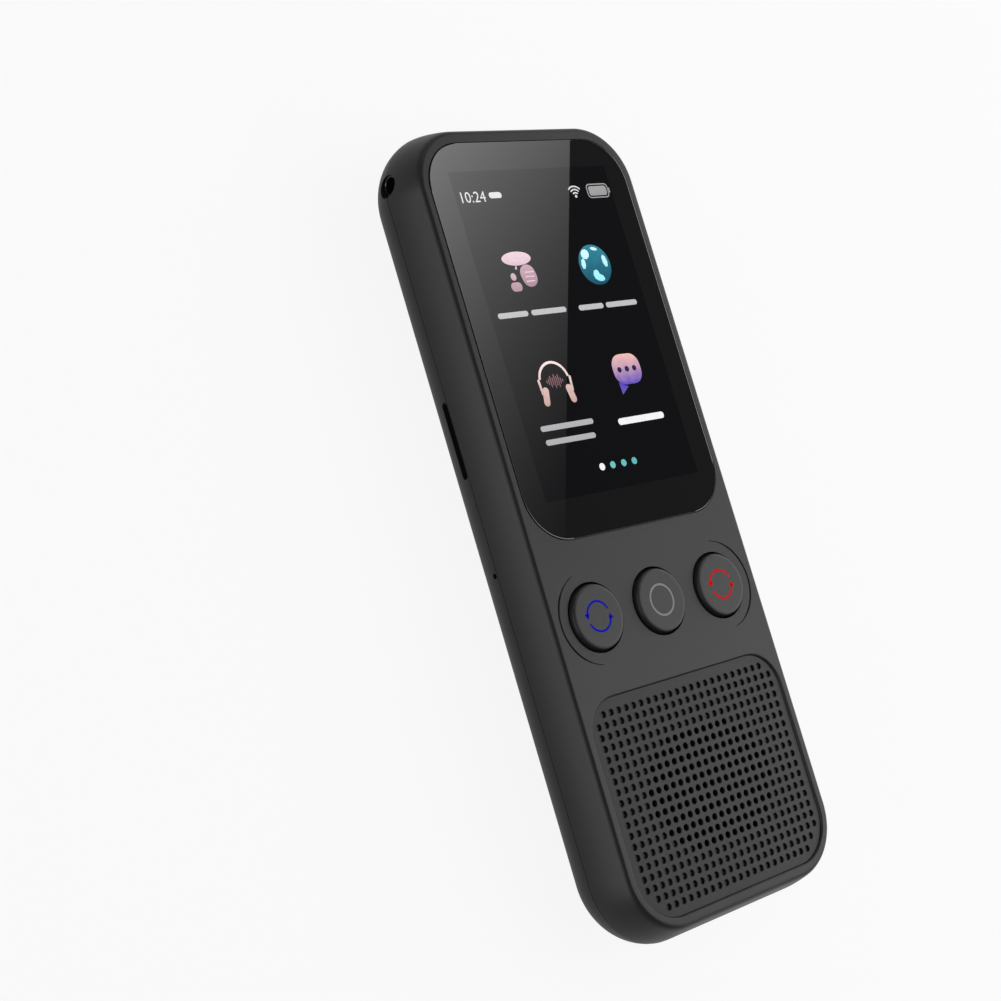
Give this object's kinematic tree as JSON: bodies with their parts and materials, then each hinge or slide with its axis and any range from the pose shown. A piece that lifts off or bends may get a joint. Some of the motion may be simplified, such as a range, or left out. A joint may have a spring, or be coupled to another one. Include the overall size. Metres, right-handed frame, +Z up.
{
  "type": "handheld translator",
  "caption": "Slim handheld voice translator with a small screen, round face keys, a perforated speaker grille and side keys.",
  "frame": {"origin": "middle of the flat underside, with the device lying on its back", "axes": "+X to the right seen from the front, +Y towards the screen end, +Z up out of the screen"},
  "size_m": [0.0512, 0.1306, 0.0153],
  "materials": {
    "housing": "satin",
    "grille": "satin",
    "key": "satin",
    "side_key": "gloss",
    "glass": "gloss",
    "display": "gloss",
    "rubber": "matte",
    "board": "satin",
    "tin": "satin",
    "steel": "satin",
    "plastic": "satin",
    "foil": "satin",
    "ribbon": "satin"
  },
  "bodies": {
    "root": {"front_housing": "housing", "rear_housing": "housing", "screen_glass": "glass", "glass_adhesive": "rubber", "display_panel": "display", "display_backlight": "foil", "screen_ribbon": "ribbon", "key_switch_left": "steel", "key_switch_centre": "steel", "key_switch_right": "steel", "key_membrane": "rubber", "power_switch": "steel", "volume_up_switch": "steel", "volume_down_switch": "steel", "side_key_board": "board", "main_board": "board", "processor_shield": "tin", "radio_shield": "tin", "antenna": "plastic", "board_screw_1": "steel", "board_screw_2": "steel", "board_screw_3": "steel", "board_screw_4": "steel", "headphone_jack": "plastic", "card_socket": "tin", "microphone_left": "tin", "microphone_right": "tin", "usb_socket": "steel", "charge_board": "board", "board_ribbon": "ribbon", "battery": "foil", "battery_tape": "rubber", "battery_connector": "plastic", "battery_lead": "plastic", "speaker_grille": "grille", "speaker_mesh": "rubber", "speaker_gasket": "rubber", "speaker_frame": "plastic", "speaker_cone": "plastic", "speaker_magnet": "steel"},
    "left_key": {"key_left": "key"},
    "centre_key": {"key_centre": "key"},
    "right_key": {"key_right": "key"},
    "power_key": {"power_button": "side_key"},
    "volume_key": {"volume_rocker": "side_key"}
  },
  "joints": [
    {"name": "left_key_press", "type": "slide", "parent": "root", "child": "left_key", "axis": [0, 0, -1], "range_m": [0, 0.0003], "stiffness_N_per_m": 1500},
    {"name": "centre_key_press", "type": "slide", "parent": "root", "child": "centre_key", "axis": [0, 0, -1], "range_m": [0, 0.0003], "stiffness_N_per_m": 1500},
    {"name": "right_key_press", "type": "slide", "parent": "root", "child": "right_key", "axis": [0, 0, -1], "range_m": [0, 0.0003], "stiffness_N_per_m": 1500},
    {"name": "power_key_press", "type": "slide", "parent": "root", "child": "power_key", "axis": [-1, 0, 0], "range_m": [0, 0.0003], "stiffness_N_per_m": 1500},
    {"name": "volume_key_rock", "type": "hinge", "parent": "root", "child": "volume_key", "pos_m": [0.0223, 0.0208, 0.0084], "axis": [0, 0, 1], "range_deg": [-1.8, 1.8], "stiffness_Nm_per_rad": 0.05}
  ]
}
